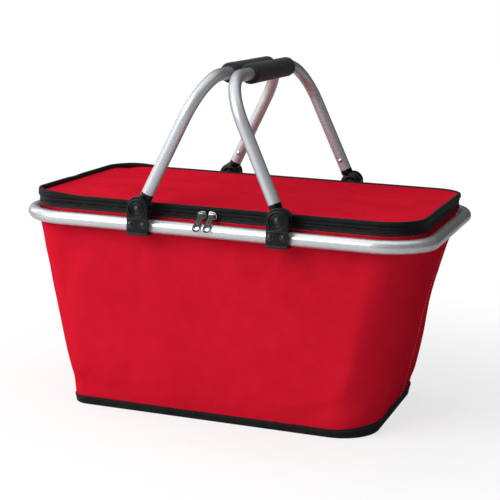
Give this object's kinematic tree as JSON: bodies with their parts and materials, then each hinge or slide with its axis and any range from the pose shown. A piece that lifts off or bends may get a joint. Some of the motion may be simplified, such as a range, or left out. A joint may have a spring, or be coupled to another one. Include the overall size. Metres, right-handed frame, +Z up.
{
  "type": "insulated cooler bag",
  "caption": "Folding insulated cooler bag with an aluminium hoop, two swing carry handles with foam grips and a zipped fabric lid.",
  "frame": {"origin": "on the floor, under the middle of the bag", "axes": "+X along the length, -Y towards the front with the zip sliders, +Z up"},
  "size_m": [0.479, 0.3094, 0.3968],
  "materials": {
    "body_fabric": "matte",
    "binding_fabric": "matte",
    "zip_tape": "matte",
    "zip_coil": "satin",
    "aluminium": "satin",
    "black_plastic": "matte",
    "grip_foam": "matte",
    "nickel": "polished",
    "dark_metal": "satin",
    "fastener_steel": "satin",
    "dark_fastener": "satin",
    "liner_foil": "gloss",
    "insulation_foam": "matte",
    "base_board": "matte"
  },
  "bodies": {
    "frame": {"rim_tube": "aluminium", "rim_joint_sleeve": "aluminium", "rim_joint_rivets": "fastener_steel", "bracket_front_right": "black_plastic", "bracket_front_left": "black_plastic", "bracket_rear_right": "black_plastic", "bracket_rear_left": "black_plastic", "bracket_screws": "dark_fastener", "backing_plates": "black_plastic", "pivot_pins": "dark_fastener", "pivot_washers": "fastener_steel", "bag_outer_wall": "body_fabric", "wall_insulation": "insulation_foam", "inner_liner_wall": "liner_foil", "bottom_binding": "binding_fabric", "zip_tape_lower": "zip_tape", "zip_coil_lower": "zip_coil", "zip_end_stops": "fastener_steel", "hinge_strip": "binding_fabric"},
    "handle_right": {"handle_tube_right": "aluminium", "handle_grip_right": "grip_foam", "handle_connectors_right": "black_plastic", "handle_rivets_right": "fastener_steel"},
    "handle_left": {"handle_tube_left": "aluminium", "handle_grip_left": "grip_foam", "handle_connectors_left": "black_plastic", "handle_rivets_left": "fastener_steel"},
    "lid_rear": {"lid_rear_fabric": "body_fabric", "lid_rear_insulation": "insulation_foam", "lid_rear_liner": "liner_foil", "lid_rear_binding": "binding_fabric", "lid_rear_zip_tape": "zip_tape", "lid_rear_zip_coil": "zip_coil"},
    "lid_front": {"lid_front_fabric": "body_fabric", "lid_front_insulation": "insulation_foam", "lid_front_liner": "liner_foil", "lid_front_binding": "binding_fabric", "lid_front_zip_tape": "zip_tape", "lid_front_zip_coil": "zip_coil"},
    "base": {"bottom_panel": "body_fabric", "floor_insulation": "insulation_foam", "base_board": "base_board", "floor_liner": "liner_foil"},
    "slider_right": {"zip_slider_right": "nickel"},
    "slider_left": {"zip_slider_left": "nickel"},
    "pull_right": {"zip_pull_right": "dark_metal"},
    "pull_left": {"zip_pull_left": "dark_metal"}
  },
  "joints": [
    {"name": "handle_right_swing", "type": "hinge", "parent": "frame", "child": "handle_right", "pos_m": [0.0795, 0, 0.2425], "axis": [0, 1, 0], "range_deg": [0, 115.3]},
    {"name": "handle_left_swing", "type": "hinge", "parent": "frame", "child": "handle_left", "pos_m": [-0.0795, 0, 0.2425], "axis": [0, -1, 0], "range_deg": [0, 115.3]},
    {"name": "lid_lift", "type": "hinge", "parent": "frame", "child": "lid_rear", "pos_m": [0, 0.127, 0.246], "axis": [-1, 0, 0], "range_deg": [0, 28]},
    {"name": "lid_fold", "type": "hinge", "parent": "lid_rear", "child": "lid_front", "pos_m": [0, -0.012, 0.246], "axis": [-1, 0, 0], "range_deg": [0, 170]},
    {"name": "base_rise", "type": "slide", "parent": "frame", "child": "base", "axis": [0, 0, 1], "range_m": [0, 0.1776]},
    {"name": "zip_run_right", "type": "slide", "parent": "frame", "child": "slider_right", "axis": [1, 0, 0], "range_m": [0, 0.056]},
    {"name": "zip_run_left", "type": "slide", "parent": "frame", "child": "slider_left", "axis": [-1, 0, 0], "range_m": [0, 0.042]},
    {"name": "pull_right_lift", "type": "hinge", "parent": "slider_right", "child": "pull_right", "pos_m": [-0.001, -0.1315, 0.2395], "axis": [-1, 0, 0], "range_deg": [0, 110]},
    {"name": "pull_left_lift", "type": "hinge", "parent": "slider_left", "child": "pull_left", "pos_m": [-0.013, -0.1315, 0.2395], "axis": [-1, 0, 0], "range_deg": [0, 110]}
  ]
}
